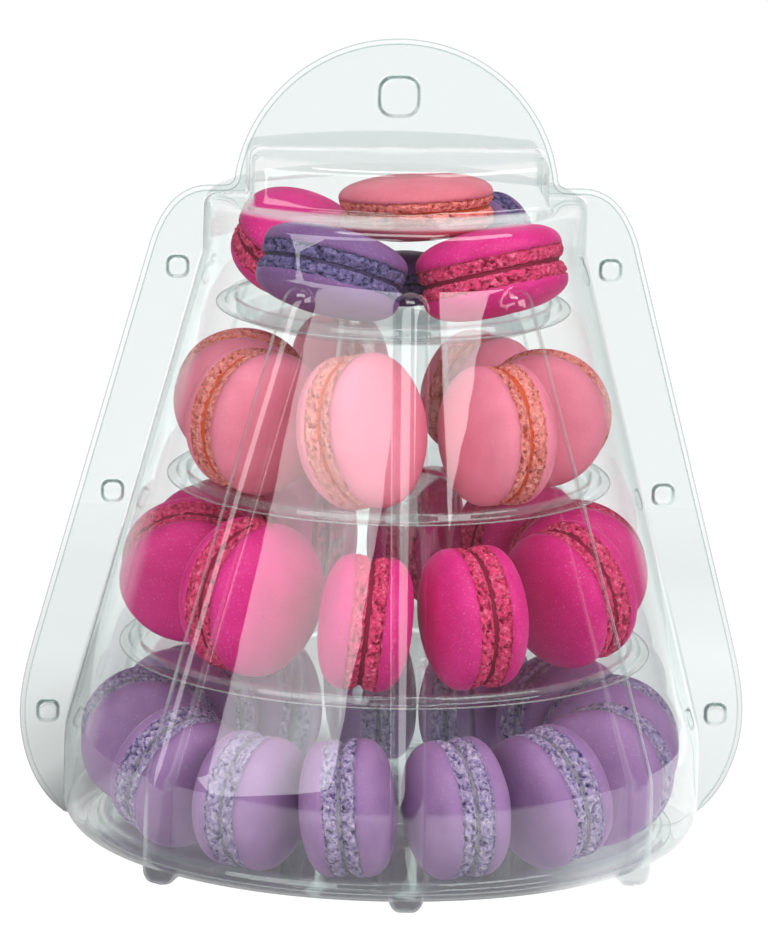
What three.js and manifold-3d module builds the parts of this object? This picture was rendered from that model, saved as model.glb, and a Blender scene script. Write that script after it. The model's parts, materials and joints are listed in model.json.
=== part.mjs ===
// A macaron tower in its clear carrier: four stacked trays of macarons inside a
// two-part snap-together case. Millimetres, +Z up, the case's front faces -Y.
// The origin is on the table, under the middle of the case.
import * as THREE from 'three';
import { mergeVertices } from 'three/addons/utils/BufferGeometryUtils.js';
import Module from 'manifold-3d';

const wasm = await Module();
wasm.setup();

// Sheet and clearances
const SHEET = 0.7;
const GAP = 0.3;

// Case wall, a turned profile split along the plane y = 0
const FLOOR_Z = 1.0;
const WALL_RADIUS = 108;
const CORNER_RADIUS = 10;
const BEND_Z = 35;
const COLLAR_RADIUS = 64.5;
const COLLAR_Z = 200;
const SHOULDER_Z = 219.5;
const SHOULDER_RADIUS = 4;
const WALL_SEGMENTS = 28;
const WHOLE_SPACE = 4 * WALL_RADIUS;

// Neck that stands on the shoulder, under the handle
const NECK_HALF_WIDTH = 49.6;
const NECK_SIDE_DEPTH = 20;
const NECK_DEPTH = 38;
const NECK_TOP_Z = 235.5;
const NECK_EDGE = 3;
const NECK_SEGMENTS = 5;

// Ribs pressed outwards from the wall, which end as feet
const RIB_RADIUS = 6;
const RIB_SINK = 1;
const RIB_SIDES = 8;
const RIB_TOP_Z = 196;
const RIB_TOP_ANGLE = 33;
const RIB_FOOT_ANGLE = 47.5;
const FOOT_CENTRE_Z = 4.8;

// Flange and handle, flat sheets on both sides of the split
const FLANGE_TOP_Z = 222.5;
const FLANGE_TOP_HALF = 63;
const FLANGE_SHOULDER = { x: 82.6, z: 203 };
const FLANGE_KNEE = { x: 118.2, z: 70 };
const FLANGE_WIDEST = { x: 123.5, z: 40.5 };
const FLANGE_TOE = { x: 100, z: 2.2 };
const FLANGE_TOE_PULL = { x: 115, z: 5 };
const FLANGE_LOW_PULL_Z = 24;
const FLANGE_HIGH_PULL_Z = 50;
const FLANGE_KNEE_PULL = { x: 121.1, z: 59 };
const FLANGE_SHOULDER_ROUND = 6;
const FLANGE_SEGMENTS = 8;
const HANDLE_CENTRE_Z = 217.8;
const HANDLE_RADIUS_FRONT = 53.6;
const HANDLE_RADIUS_BACK = 55.1;
const HANDLE_FILLET = 4;

// Snap studs that hold the halves together
const STUD_SIZE = 8.6;
const STUD_RISE = 2.4;
const STUD_CORNER_SHARE = 0.28;
const STUD_PLACES = [{ x: 73.1, z: 194.8 }, { x: 93.5, z: 117.4 }, { x: 114, z: 40.8 }];
const HANDLE_STUD_SIZE = 15;
const HANDLE_STUD_Z = 253.4;

// Trays, from the top one down: rim radius, floor height, how far the floor is dished below the rim
// and the riser that carries the next tray up
const TRAY_SHEET = 0.8;
const BEAD_RISE = 3.8;
const BEAD_INSET = 5.5;
const BEAD_FOOT = 7.5;
const LIP_RISE = 0.6;
const TRAY_SEGMENTS = 24;
const TRAYS = [
  { rim: 59.8, floor: 179.2, dish: 2.5, riserFoot: 0, riserTop: 0 },
  { rim: 75, floor: 121.5, dish: 1, riserFoot: 22, riserTop: 18 },
  { rim: 90, floor: 63.9, dish: 0, riserFoot: 28, riserTop: 24 },
  { rim: 99.5, floor: 2.8, dish: 0, riserFoot: 34, riserTop: 30 },
];

// Macaron proportions, as shares of its half thickness or radius
const MACARON_SEGMENTS = 14;
const FILLING_SHARE = 0.07;
const FOOT_SHARE = 0.39;
const WAIST_SHARE = 0.93;
const BROW_RADIUS_SHARE = 0.8;
const BROW_RISE_SHARE = 0.72;
const WOBBLE = 0.012;

// Rings of macarons that stand on edge. Each one has its angle round the tray from the front,
// the turn of its axis from the ring's tangent and its lean, in degrees, then its radius and, for
// some, how far it is drawn in from the ring.
const RINGS = [
  {
    tray: 1,
    colour: 0xe58d97,
    reach: 51.5,
    half: 14.6,
    shown: [
      [-109, 12, 6, 23.6],
      [-66, 12, 0, 24.6],
      [-16, -23, -13, 26.2, 2.6],
      [39, -13, -1, 24],
      [84, -6, 0, 23],
      [139, -5, 3, 21.6],
    ],
    hidden: 1,
  },
  {
    tray: 2,
    colour: 0xd8327f,
    reach: 66.5,
    half: 15.6,
    shown: [
      [-90, -6, 22, 25, 1],
      [-50, 2, 2, 26.4, 3.2],
      [-10.5, 6, 5, 23],
      [21, -6, 3, 24.3],
      [63, -25, 12, 24.4],
      [97.5, -10, 0, 24.2],
    ],
    hidden: 4,
  },
  {
    tray: 3,
    colour: 0xa874b8,
    reach: 79.5,
    half: 15.6,
    shown: [
      [-99.5, 8, 10, 23.8],
      [-63, 8, 16, 23.6],
      [-37.5, 4, 1, 23],
      [-12.7, 1, -6, 23.4],
      [13.5, 1, 4, 23.8],
      [40, -9, 12, 23.5],
      [66.5, -1, -2, 24, 1],
      [96, -12, 1, 24],
    ],
    hidden: 5,
  },
];
const HIDDEN_RADIUS = 23.8;
const HIDDEN_SPREAD = 0.6;
const HIDDEN_TURN = 5;
const HIDDEN_LEAN = 4;

// The loose heap on the top tray. Each has its centre seen from above, the slope of its axis from
// upright and the heading it slopes to, with 0 towards +X, its radius and half thickness. Those with
// a lift lie on others, that far above the tray.
const HEAP = [
  { at: [-23, -24], slope: 22, heading: 48, radius: 25, half: 14.2, colour: 0x9a7bbd, lift: 0 },
  { at: [31, -21], slope: 18, heading: 135, radius: 25.3, half: 14.8, colour: 0xd8327f, lift: 0 },
  { at: [5, 13], slope: 3, heading: 90, radius: 15.5, half: 9, colour: 0x7a3f93, lift: 0 },
  { at: [7.8, 8.5], slope: 6, heading: 125, radius: 26.5, half: 10.8, colour: 0xe9787c, lift: 23 },
  { at: [-31.4, 25], slope: 26, heading: -57, radius: 22, half: 14.2, colour: 0xcf4f9a, lift: 0 },
  { at: [36, 31], slope: 84, heading: 41, radius: 15.6, half: 8.6, colour: 0x9a86b8, lift: 4 },
];

// Deterministic draws for the small irregularities of the food
function seededRandom(seed) {
  let state = seed;
  return () => {
    state = (state * 1664525 + 1013904223) % 4294967296;
    return state / 4294967296;
  };
}
const random = seededRandom(5);
const jitter = (amount) => (random() * 2 - 1) * amount;

const rad = THREE.MathUtils.degToRad;

// Closed triangle mesh to a solid, and back
function toSolid(geometry) {
  const bare = geometry.clone();
  bare.deleteAttribute('normal');
  bare.deleteAttribute('uv');
  const merged = mergeVertices(bare, 1e-4);
  const mesh = new wasm.Mesh({
    numProp: 3,
    vertProperties: new Float32Array(merged.attributes.position.array),
    triVerts: new Uint32Array(merged.index.array),
  });
  return new wasm.Manifold(mesh);
}

function toGeometry(solid) {
  const mesh = solid.getMesh();
  const geometry = new THREE.BufferGeometry();
  geometry.setAttribute('position', new THREE.BufferAttribute(new Float32Array(mesh.vertProperties), 3));
  geometry.setIndex(new THREE.BufferAttribute(new Uint32Array(mesh.triVerts), 1));
  geometry.computeVertexNormals();
  return geometry;
}

const joinAll = (solids) => solids.reduce((whole, piece) => whole.add(piece));

// A profile of [radius, height] points turned about Z
function turned(points, segments) {
  const profile = points.map(([r, z]) => new THREE.Vector2(r, z));
  return new THREE.LatheGeometry(profile, segments).rotateX(Math.PI / 2);
}

// Quarter-round points from startAngle to endAngle, in degrees, about (r, z)
function corner(r, z, radius, startAngle, endAngle, steps) {
  const points = [];
  for (let k = 0; k <= steps; k += 1) {
    const a = rad(startAngle + ((endAngle - startAngle) * k) / steps);
    points.push([r + radius * Math.cos(a), z + radius * Math.sin(a)]);
  }
  return points;
}

// Turned body of the case, drawn in by the given inset
function caseBody(inset) {
  const wall = WALL_RADIUS - inset;
  const collar = COLLAR_RADIUS - inset;
  const cornerRadius = CORNER_RADIUS - inset;
  const shoulderRadius = SHOULDER_RADIUS - inset;
  const floor = FLOOR_Z + inset;
  const shoulder = SHOULDER_Z - inset;
  return toSolid(turned([
    [0, floor],
    ...corner(wall - cornerRadius, floor + cornerRadius, cornerRadius, -90, 0, 3),
    [wall, BEND_Z],
    [collar, COLLAR_Z],
    ...corner(collar - shoulderRadius, shoulder - shoulderRadius, shoulderRadius, 0, 90, 2),
    [0, shoulder],
  ], WALL_SEGMENTS));
}

// Neck with straight ends and bowed front and back, drawn in by the given inset
function caseNeck(inset) {
  const half = NECK_HALF_WIDTH - inset - NECK_EDGE;
  const side = NECK_SIDE_DEPTH - inset;
  const depth = NECK_DEPTH - inset - NECK_EDGE;
  const bow = 2 * depth - side;
  const plan = new THREE.Shape();
  plan.moveTo(half, side);
  plan.quadraticCurveTo(0, bow, -half, side);
  plan.lineTo(-half, -side);
  plan.quadraticCurveTo(0, -bow, half, -side);
  plan.closePath();
  const base = COLLAR_Z + inset;
  const rise = NECK_TOP_Z - inset - base - 2 * NECK_EDGE;
  const geometry = new THREE.ExtrudeGeometry(plan, {
    depth: rise,
    curveSegments: NECK_SEGMENTS,
    bevelThickness: NECK_EDGE,
    bevelSize: NECK_EDGE,
    bevelSegments: 2,
  });
  geometry.translate(0, 0, base + NECK_EDGE);
  return toSolid(geometry);
}

// Point on the ribs' centre line at a height, at an angle from the front
function ribPoint(z, angle) {
  const slope = (WALL_RADIUS - COLLAR_RADIUS) / (COLLAR_Z - BEND_Z);
  const r = WALL_RADIUS - RIB_SINK - Math.max(z - BEND_Z, 0) * slope;
  return new THREE.Vector3(r * Math.sin(rad(angle)), -r * Math.cos(rad(angle)), z);
}

function ball(at, radius) {
  const geometry = new THREE.SphereGeometry(radius, RIB_SIDES, 4);
  return toSolid(geometry.translate(at.x, at.y, at.z));
}

function rod(from, to, radius) {
  const along = to.clone().sub(from);
  const geometry = new THREE.CylinderGeometry(radius, radius, along.length(), RIB_SIDES);
  const turn = new THREE.Quaternion().setFromUnitVectors(new THREE.Vector3(0, 1, 0), along.normalize());
  const middle = from.clone().add(to).multiplyScalar(0.5);
  return toSolid(geometry.applyQuaternion(turn).translate(middle.x, middle.y, middle.z));
}

// The three ribs of the front half, each a round channel that ends at footZ
function ribs(radius, footZ) {
  const pieces = [];
  for (const side of [-1, 0, 1]) {
    const top = ribPoint(RIB_TOP_Z, side * RIB_TOP_ANGLE);
    const bend = ribPoint(BEND_Z, side * RIB_FOOT_ANGLE);
    const foot = bend.clone().setZ(FOOT_CENTRE_Z);
    pieces.push(ball(top, radius), rod(bend, top, radius), ball(bend, radius), rod(foot, bend, radius));
    pieces.push(ball(foot, radius));
  }
  return joinAll(pieces).intersect(spaceAbove(footZ));
}

// Everything above a level
function spaceAbove(z) {
  const box = new THREE.BoxGeometry(WHOLE_SPACE, WHOLE_SPACE, WHOLE_SPACE);
  return toSolid(box.translate(0, 0, WHOLE_SPACE / 2 + z));
}

// Everything on the front side of the split
function frontSpace() {
  const box = new THREE.BoxGeometry(WHOLE_SPACE, WHOLE_SPACE, WHOLE_SPACE);
  return toSolid(box.translate(0, -WHOLE_SPACE / 2 - GAP / 2, WHOLE_SPACE / 4));
}

// Flange outline with the half-round handle, in the plane of the split
function flangeOutline(handleRadius) {
  const start = Math.asin((FLANGE_TOP_Z + HANDLE_FILLET - HANDLE_CENTRE_Z) / handleRadius);
  const rootX = handleRadius * Math.cos(start);
  const rootZ = FLANGE_TOP_Z + HANDLE_FILLET;
  const toe = FLANGE_TOE;
  const toePull = FLANGE_TOE_PULL;
  const wide = FLANGE_WIDEST;
  const knee = FLANGE_KNEE;
  const kneePull = FLANGE_KNEE_PULL;
  const shoulder = FLANGE_SHOULDER;
  const roundX = shoulder.x - FLANGE_SHOULDER_ROUND;
  const outline = new THREE.Shape();
  outline.moveTo(-toe.x, toe.z);
  outline.lineTo(toe.x, toe.z);
  outline.bezierCurveTo(toePull.x, toePull.z, wide.x, FLANGE_LOW_PULL_Z, wide.x, wide.z);
  outline.bezierCurveTo(wide.x, FLANGE_HIGH_PULL_Z, kneePull.x, kneePull.z, knee.x, knee.z);
  outline.lineTo(shoulder.x, shoulder.z);
  outline.quadraticCurveTo(roundX, FLANGE_TOP_Z, FLANGE_TOP_HALF, FLANGE_TOP_Z);
  outline.lineTo(rootX + HANDLE_FILLET, FLANGE_TOP_Z);
  outline.quadraticCurveTo(rootX, FLANGE_TOP_Z, rootX, rootZ);
  outline.absarc(0, HANDLE_CENTRE_Z, handleRadius, start, Math.PI - start, false);
  outline.quadraticCurveTo(-rootX, FLANGE_TOP_Z, -rootX - HANDLE_FILLET, FLANGE_TOP_Z);
  outline.lineTo(-FLANGE_TOP_HALF, FLANGE_TOP_Z);
  outline.quadraticCurveTo(-roundX, FLANGE_TOP_Z, -shoulder.x, shoulder.z);
  outline.lineTo(-knee.x, knee.z);
  outline.bezierCurveTo(-kneePull.x, kneePull.z, -wide.x, FLANGE_HIGH_PULL_Z, -wide.x, wide.z);
  outline.bezierCurveTo(-wide.x, FLANGE_LOW_PULL_Z, -toePull.x, toePull.z, -toe.x, toe.z);
  return outline;
}

// A flat outline in the XZ plane, filled from y = near towards -Y by the given depth
function plate(outline, near, depth, curveSegments) {
  const geometry = new THREE.ExtrudeGeometry(outline, { depth, curveSegments, bevelEnabled: false });
  return toSolid(geometry.rotateX(Math.PI / 2).translate(0, near, 0));
}

function stud(place, size, near, depth) {
  const half = size / 2;
  const cut = size * STUD_CORNER_SHARE;
  const outline = new THREE.Shape();
  outline.moveTo(place.x - half + cut, place.z - half);
  outline.lineTo(place.x + half - cut, place.z - half);
  outline.lineTo(place.x + half, place.z - half + cut);
  outline.lineTo(place.x + half, place.z + half - cut);
  outline.lineTo(place.x + half - cut, place.z + half);
  outline.lineTo(place.x - half + cut, place.z + half);
  outline.lineTo(place.x - half, place.z + half - cut);
  outline.lineTo(place.x - half, place.z - half + cut);
  outline.closePath();
  return plate(outline, near, depth, 1);
}

function studPlaces() {
  const places = [{ x: 0, z: HANDLE_STUD_Z, size: HANDLE_STUD_SIZE }];
  for (const { x, z } of STUD_PLACES) {
    places.push({ x, z, size: STUD_SIZE }, { x: -x, z, size: STUD_SIZE });
  }
  return places;
}

// One half of the case: shell, flange and handle in one pressed sheet, built on the front side
function caseHalf(handleRadius) {
  const inside = joinAll([caseBody(SHEET), caseNeck(SHEET), ribs(RIB_RADIUS - SHEET, SHEET)]);
  const outside = joinAll([caseBody(0), caseNeck(0), ribs(RIB_RADIUS, 0)]);
  const shell = outside.subtract(inside).intersect(frontSpace());
  const flange = plate(flangeOutline(handleRadius), -GAP / 2, SHEET, FLANGE_SEGMENTS).subtract(inside);
  return shell.add(flange);
}

// The front half has hollow studs, open towards the split
function caseFront() {
  let half = caseHalf(HANDLE_RADIUS_FRONT);
  for (const place of studPlaces()) {
    half = half.add(stud(place, place.size, -GAP / 2 - SHEET / 2, STUD_RISE + SHEET / 2));
  }
  for (const place of studPlaces()) {
    half = half.subtract(stud(place, place.size - 2 * SHEET, 1, 1 + GAP / 2 + STUD_RISE));
  }
  return toGeometry(half);
}

// The back half, turned to face the front one, has solid studs that press into it
function caseBack() {
  let half = toSolid(toGeometry(caseHalf(HANDLE_RADIUS_BACK)).rotateZ(Math.PI));
  for (const place of studPlaces()) {
    const size = place.size - 2 * SHEET - 2 * GAP;
    half = half.add(stud(place, size, GAP / 2 + SHEET / 2, STUD_RISE));
  }
  return toGeometry(half);
}

// A tray with its beaded rim, and the closed hollow riser that carries the tray above
function trayGeometry({ rim, floor, dish, riserFoot, riserTop }, above) {
  const bead = rim - BEAD_INSET;
  const foot = rim - BEAD_FOOT;
  const under = floor - TRAY_SHEET;
  const crest = floor + dish + BEAD_RISE;
  const lip = floor + dish + LIP_RISE;
  const upper = [
    [foot, floor],
    [bead, crest],
    [rim, lip],
  ];
  const lower = [
    [rim - TRAY_SHEET, lip - TRAY_SHEET / 2],
    [bead, crest - TRAY_SHEET],
    [foot + TRAY_SHEET / 2, under],
  ];
  if (!above) {
    return turned([[0, under], ...lower.reverse(), ...upper.reverse(), [0, floor]], TRAY_SEGMENTS);
  }
  const cap = above.floor - TRAY_SHEET - GAP;
  const riserUpper = [[riserTop, cap], [riserFoot, floor]];
  const riserLower = [[riserFoot - TRAY_SHEET, under], [riserTop - TRAY_SHEET, cap - TRAY_SHEET]];
  return turned([
    [0, cap - TRAY_SHEET],
    ...riserLower.reverse(),
    ...lower.reverse(),
    ...upper.reverse(),
    ...riserUpper.reverse(),
    [0, cap],
  ], TRAY_SEGMENTS);
}

// Two domed shells with frilled feet on a filling, turned about Y, with a slightly uneven outline
function macaronGeometry(radius, half) {
  const filling = half * FILLING_SHARE;
  const foot = half * FOOT_SHARE;
  const dome = half - foot;
  const upper = [
    [radius * WAIST_SHARE, filling],
    [radius, foot],
    [radius * BROW_RADIUS_SHARE, foot + dome * BROW_RISE_SHARE],
  ];
  const points = [[0, -half], ...upper.map(([r, h]) => [r, -h]).reverse(), ...upper, [0, half]];
  const profile = points.map(([r, h]) => new THREE.Vector2(r, h));
  const geometry = new THREE.LatheGeometry(profile, MACARON_SEGMENTS);
  const phase = [jitter(Math.PI), jitter(Math.PI)];
  const position = geometry.attributes.position;
  for (let k = 0; k < position.count; k += 1) {
    const angle = Math.atan2(position.getZ(k), position.getX(k));
    const swell = 1 + WOBBLE * (Math.sin(2 * angle + phase[0]) + Math.sin(3 * angle + phase[1]));
    position.setX(k, position.getX(k) * swell);
    position.setZ(k, position.getZ(k) * swell);
  }
  return geometry;
}

const tower = new THREE.Group();

function addPiece(name, geometry, settings) {
  const mesh = new THREE.Mesh(geometry, new THREE.MeshStandardMaterial(settings));
  mesh.name = name;
  tower.add(mesh);
  return mesh;
}

// Turns a macaron's axis from Y to the given direction
function aim(mesh, direction) {
  mesh.quaternion.setFromUnitVectors(new THREE.Vector3(0, 1, 0), direction.normalize());
}

function lowestPoint(mesh) {
  const box = new THREE.Box3();
  mesh.updateMatrixWorld();
  return box.setFromObject(mesh, true).min.z - mesh.position.z;
}

// Places one macaron on edge in its ring
function addRingMacaron(name, ring, [angle, turn, lean, radius, drawn = 0]) {
  const mesh = addPiece(name, macaronGeometry(radius, ring.half), { color: ring.colour, roughness: 0.7 });
  const heading = rad(angle + turn + (angle < 0 ? 180 : 0));
  const reach = ring.reach - drawn;
  const level = Math.cos(rad(lean));
  aim(mesh, new THREE.Vector3(Math.cos(heading) * level, Math.sin(heading) * level, Math.sin(rad(lean))));
  mesh.position.set(reach * Math.sin(rad(angle)), -reach * Math.cos(rad(angle)), 0);
  mesh.position.z = TRAYS[ring.tray].floor + GAP - lowestPoint(mesh);
}

// Angles of the macarons behind, spread evenly between the last ones that show
function hiddenPlaces(ring) {
  const last = ring.shown[ring.shown.length - 1][0];
  const first = ring.shown[0][0] + 360;
  const places = [];
  for (let k = 1; k <= ring.hidden; k += 1) {
    const angle = last + ((first - last) * k) / (ring.hidden + 1);
    places.push([angle, jitter(HIDDEN_TURN), jitter(HIDDEN_LEAN), HIDDEN_RADIUS + jitter(HIDDEN_SPREAD)]);
  }
  return places;
}

const CLEAR = { color: 0xeef4f4, roughness: 0.05, metalness: 0, transparent: true, opacity: 0.25 };

addPiece('case_front', caseFront(), CLEAR);
addPiece('case_back', caseBack(), CLEAR);
TRAYS.forEach((tray, k) => addPiece(`tray_${k + 1}`, trayGeometry(tray, TRAYS[k - 1]), CLEAR));

HEAP.forEach(({ at, slope, heading, radius, half, colour, lift }, k) => {
  const settings = { color: colour, roughness: 0.7 };
  const mesh = addPiece(`macaron_1_${k + 1}`, macaronGeometry(radius, half), settings);
  const side = Math.sin(rad(slope));
  const up = Math.cos(rad(slope));
  aim(mesh, new THREE.Vector3(side * Math.cos(rad(heading)), side * Math.sin(rad(heading)), up));
  mesh.position.set(at[0], at[1], 0);
  mesh.position.z = TRAYS[0].floor + GAP + lift - lowestPoint(mesh);
});

for (const ring of RINGS) {
  const places = [...ring.shown, ...hiddenPlaces(ring)];
  places.forEach((place, k) => addRingMacaron(`macaron_${ring.tray + 1}_${k + 1}`, ring, place));
}

export default tower;
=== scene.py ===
import itertools
import json
import math

import bpy
import numpy as np
from mathutils import Matrix, Vector
from mathutils.geometry import tessellate_polygon


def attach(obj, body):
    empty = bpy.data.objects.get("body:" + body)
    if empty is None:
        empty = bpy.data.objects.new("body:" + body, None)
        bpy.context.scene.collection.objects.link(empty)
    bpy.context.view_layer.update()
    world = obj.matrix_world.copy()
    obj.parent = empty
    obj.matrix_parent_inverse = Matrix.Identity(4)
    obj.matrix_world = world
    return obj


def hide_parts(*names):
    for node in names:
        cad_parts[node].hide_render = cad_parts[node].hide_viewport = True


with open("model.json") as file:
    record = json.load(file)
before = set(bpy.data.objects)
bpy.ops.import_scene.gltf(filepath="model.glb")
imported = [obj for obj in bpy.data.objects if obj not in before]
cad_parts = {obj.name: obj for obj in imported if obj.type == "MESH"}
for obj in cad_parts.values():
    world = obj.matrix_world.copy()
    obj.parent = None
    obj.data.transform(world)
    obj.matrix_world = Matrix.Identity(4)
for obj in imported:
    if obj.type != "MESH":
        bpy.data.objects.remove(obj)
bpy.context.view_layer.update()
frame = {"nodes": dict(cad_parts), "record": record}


# Trays: four round dishes of thin clear sheet, each pressed from one blank with a raised bead
# round its rim. Three have a hollow riser in the middle, and the tray above sits on its cap.

MM = 0.001
FACE, CUT, STEEP, FLAT = 0, 1, 2, 4
TRAY_SHEET = 0.5
TRAY_TURNS = 160
BEAD_RISE = 3.8
BEAD_INSET = 5.3
BEAD_HALF = 1.5
BEAD_ROUND = 1.4
BEAD_FOOT = 7.5
BEAD_FOOT_ROUND = 1.1
LIP_RISE = 0.6
LIP_FLAT = 3.0
LIP_ROUND = 0.8
CUT_BAND = 0.45
CUT_ROUND = 0.1
CAP_GAP = 1.1
CAP_ROUND = 2.5
RISER_FOOT_ROUND = 3
PROFILE_STEPS = 7
LONGEST_ROUND_SHARE = 0.45
TRAYS = {
    "tray_4": {"rim": 99.5, "floor": 2.8, "dish": 0, "riser_foot": 34, "riser_top": 30, "above": 63.9},
    "tray_3": {"rim": 90, "floor": 63.9, "dish": 0, "riser_foot": 28, "riser_top": 24, "above": 121.5},
    "tray_2": {"rim": 75, "floor": 121.5, "dish": 1, "riser_foot": 22, "riser_top": 18, "above": 179.2},
    "tray_1": {"rim": 59.8, "floor": 179.2, "dish": 2.5},
}


def colour(code):
    """A six-digit colour of the screen as the linear values that a shader takes."""
    shares = [int(code[k:k + 2], 16) / 255 for k in (0, 2, 4)]
    linear = [s / 12.92 if s <= 0.04045 else ((s + 0.055) / 1.055) ** 2.4 for s in shares]
    return (*linear, 1.0)


class Wire:
    """A socket in a material, so that sums of values are written as plain expressions."""

    def __init__(self, tree, socket=None):
        self.tree = tree
        self.socket = socket

    def node(self, kind, settings, inputs, output=0):
        made = self.tree.nodes.new("ShaderNode" + kind)
        for name, value in settings.items():
            setattr(made, name, value)
        for name, value in inputs.items():
            if isinstance(value, Wire):
                self.tree.links.new(value.socket, made.inputs[name])
            else:
                made.inputs[name].default_value = value
        return Wire(self.tree, made.outputs[output])

    def maths(self, operation, *values):
        return self.node("Math", {"operation": operation}, dict(enumerate(values)))

    def __add__(self, other):
        return self.maths("ADD", self, other)

    def __radd__(self, other):
        return self.maths("ADD", other, self)

    def __sub__(self, other):
        return self.maths("SUBTRACT", self, other)

    def __rsub__(self, other):
        return self.maths("SUBTRACT", other, self)

    def __mul__(self, other):
        return self.maths("MULTIPLY", self, other)

    def __rmul__(self, other):
        return self.maths("MULTIPLY", other, self)

    def __truediv__(self, other):
        return self.maths("DIVIDE", self, other)

    def __pow__(self, other):
        return self.maths("POWER", self, other)

    def clamped(self):
        return self.node("Clamp", {}, {"Value": self})


def new_material(name):
    """An empty material, the start of its wiring and its output node."""
    material = bpy.data.materials.new(name)
    material.use_nodes = True
    material.node_tree.nodes.clear()
    end = material.node_tree.nodes.new("ShaderNodeOutputMaterial")
    return material, Wire(material.node_tree), end


def clear_sheet(name, face_tint, edge_tint, edge_power, milk_share, gloss_face, gloss_edge):
    """Thin clear sheet: nearly no tint face on, grey where it is seen along its surface, with
    mirror-like reflections. A cut edge is also a little milky."""
    material, wire, end = new_material(name)
    place = wire.node("TexCoord", {}, {}, "Object")
    facing = wire.node("LayerWeight", {}, {"Blend": 0.5}, "Facing")
    wave = wire.node("TexNoise", {}, {"Vector": place, "Scale": 45.0, "Detail": 1.0}, "Fac")
    ripple = wire.node("Bump", {}, {"Height": wave, "Strength": 0.03, "Distance": 0.002}, "Normal")
    through = wire.node("BsdfTransparent", {}, {"Color": face_tint})
    along = wire.node("BsdfTransparent", {}, {"Color": edge_tint})
    body = wire.node("MixShader", {}, {0: facing ** edge_power, 1: through, 2: along})
    milk = wire.node("BsdfDiffuse", {}, {"Color": (0.9, 0.93, 0.93, 1)})
    milky = wire.node("MixShader", {}, {0: milk_share, 1: body, 2: milk})
    shine = wire.node("BsdfGlossy", {}, {"Color": (1, 1, 1, 1), "Roughness": 0.0, "Normal": ripple})
    mirror = facing ** 5 * (gloss_edge - gloss_face) + gloss_face
    whole = wire.node("MixShader", {}, {0: mirror, 1: milky, 2: shine})
    wire.tree.links.new(whole.socket, end.inputs["Surface"])
    return material


def rounded(corners, steps):
    """A profile through corners of radius, height and rounding, with each corner rounded."""
    points = [np.array(corners[0][:2], float)]
    for before, corner, after in zip(corners, corners[1:], corners[2:]):
        here = np.array(corner[:2], float)
        back = np.array(before[:2], float) - here
        ahead = np.array(after[:2], float) - here
        back_length = np.linalg.norm(back)
        ahead_length = np.linalg.norm(ahead)
        reach = min(corner[2], LONGEST_ROUND_SHARE * back_length, LONGEST_ROUND_SHARE * ahead_length)
        start = here + back / back_length * reach
        finish = here + ahead / ahead_length * reach
        for share in np.linspace(0, 1, steps + 1):
            points.append((1 - share) ** 2 * start + 2 * share * (1 - share) * here + share ** 2 * finish)
    points.append(np.array(corners[-1][:2], float))
    return points


def sheet_piece(name, points, faces, marks, materials, sheet):
    """A piece of sheet in one thickness, its outer side given in millimetres. The marks give each
    face's material, and faces marked FLAT keep their own flat sheen."""
    mesh = bpy.data.meshes.new(name)
    mesh.from_pydata((np.array(points) * MM).tolist(), [], faces)
    mesh.update()
    for material in materials:
        mesh.materials.append(material)
    mesh.polygons.foreach_set("use_smooth", [mark < FLAT for mark in marks])
    mesh.polygons.foreach_set("material_index", [mark % FLAT for mark in marks])
    piece = bpy.data.objects.new(name, mesh)
    bpy.context.scene.collection.objects.link(piece)
    wall = piece.modifiers.new("sheet", "SOLIDIFY")
    wall.thickness = sheet * MM
    wall.offset = -1
    wall.use_even_offset = True
    wall.material_offset_rim = 1
    return piece


def turned_sheet(name, profile, turns, materials, sheet):
    """A sheet turned about the upright axis from a profile that starts on the axis. Its outermost
    band shows the cut edge."""
    angles = np.linspace(0, 2 * math.pi, turns, endpoint=False)
    points = [(0, 0, profile[0][1])]
    for radius, height in profile[1:]:
        points.extend((radius * math.cos(a), radius * math.sin(a), height) for a in angles)
    faces = [(0, 1 + k, 1 + (k + 1) % turns) for k in range(turns)]
    for row in range(len(profile) - 2):
        inner = 1 + row * turns
        outer = inner + turns
        for k in range(turns):
            after = (k + 1) % turns
            faces.append((inner + k, outer + k, outer + after, inner + after))
    marks = [FACE] * (len(faces) - turns) + [CUT] * turns
    return sheet_piece(name, points, faces, marks, materials, sheet)


tray_face = clear_sheet(
    "clear_tray", face_tint=(0.978, 0.99, 0.988, 1), edge_tint=(0.3, 0.36, 0.35, 1),
    edge_power=9.0, milk_share=0.0, gloss_face=0.038, gloss_edge=0.5,
)
tray_cut = clear_sheet(
    "clear_tray_cut", face_tint=(0.6, 0.66, 0.65, 1), edge_tint=(0.38, 0.44, 0.43, 1),
    edge_power=3.0, milk_share=0.2, gloss_face=0.06, gloss_edge=0.6,
)

for name, tray in TRAYS.items():
    rim, floor = tray["rim"], tray["floor"]
    level = floor + tray["dish"]
    outline = [
        (rim - BEAD_FOOT, floor, BEAD_FOOT_ROUND),
        (rim - BEAD_INSET - BEAD_HALF, level + BEAD_RISE, BEAD_ROUND),
        (rim - BEAD_INSET + BEAD_HALF, level + BEAD_RISE, BEAD_ROUND),
        (rim - LIP_FLAT, level + LIP_RISE, LIP_ROUND),
        (rim - CUT_BAND, level + LIP_RISE, CUT_ROUND),
        (rim, level + LIP_RISE, 0),
    ]
    if "above" in tray:
        cap = tray["above"] - CAP_GAP
        outline = [
            (0, cap, 0),
            (tray["riser_top"], cap, CAP_ROUND),
            (tray["riser_foot"], floor, RISER_FOOT_ROUND),
        ] + outline
    else:
        outline = [(0, floor, 0)] + outline
    profile = rounded(outline, PROFILE_STEPS)
    piece = turned_sheet(name + ".sheet", profile, TRAY_TURNS, [tray_face, tray_cut], TRAY_SHEET)
    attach(piece, "root")
    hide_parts(name)


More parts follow.
